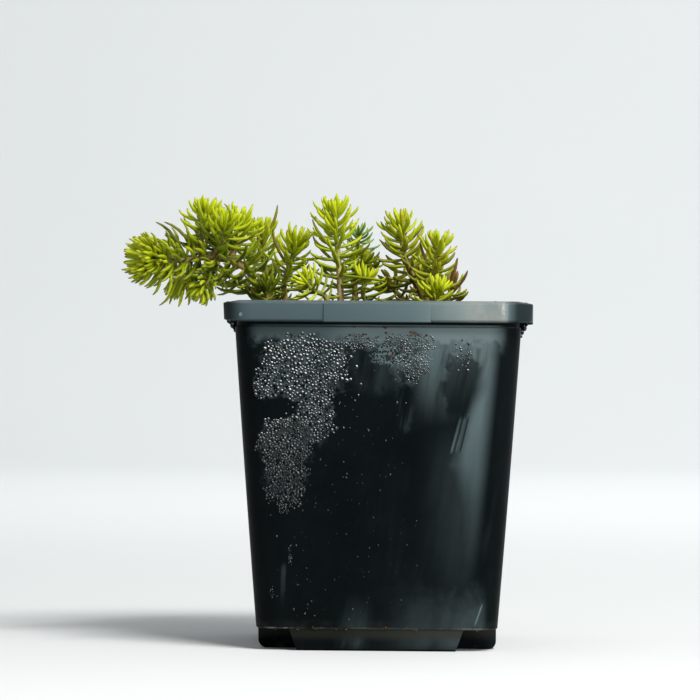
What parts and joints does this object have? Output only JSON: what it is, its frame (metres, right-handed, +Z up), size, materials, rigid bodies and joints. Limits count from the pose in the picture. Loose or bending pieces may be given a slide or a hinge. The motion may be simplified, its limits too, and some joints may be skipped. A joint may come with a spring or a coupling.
{
  "type": "potted sedum",
  "caption": "Needle-leaved trailing sedum growing in potting mix in a tapered square nursery pot with a turned-down rim and notched base corners.",
  "frame": {"origin": "centre of the pot's flat base, on the surface that it stands on", "axes": "+Z up along the pot's axis; the pot's front face is towards -Y and the trailing shoot hangs out over the rim towards -X"},
  "size_m": [0.1224, 0.0906, 0.1345],
  "materials": {
    "pot_plastic": "satin",
    "potting_mix": "matte",
    "foliage": "satin"
  },
  "bodies": {
    "root": {"pot": "pot_plastic", "soil": "potting_mix", "stem_trailing": "foliage", "stem_left_back": "foliage", "stem_left_middle": "foliage", "stem_left_low": "foliage", "stem_front_low": "foliage", "stem_centre": "foliage", "stem_centre_back": "foliage", "stem_centre_right": "foliage", "stem_right_of_centre": "foliage", "stem_right_tall": "foliage", "stem_right_front": "foliage", "stem_right_low": "foliage", "stem_right_red": "foliage", "stem_right_left": "foliage", "stem_right_back": "foliage", "young_back_left": "foliage", "young_back_right": "foliage", "young_right": "foliage"}
  },
  "joints": []
}
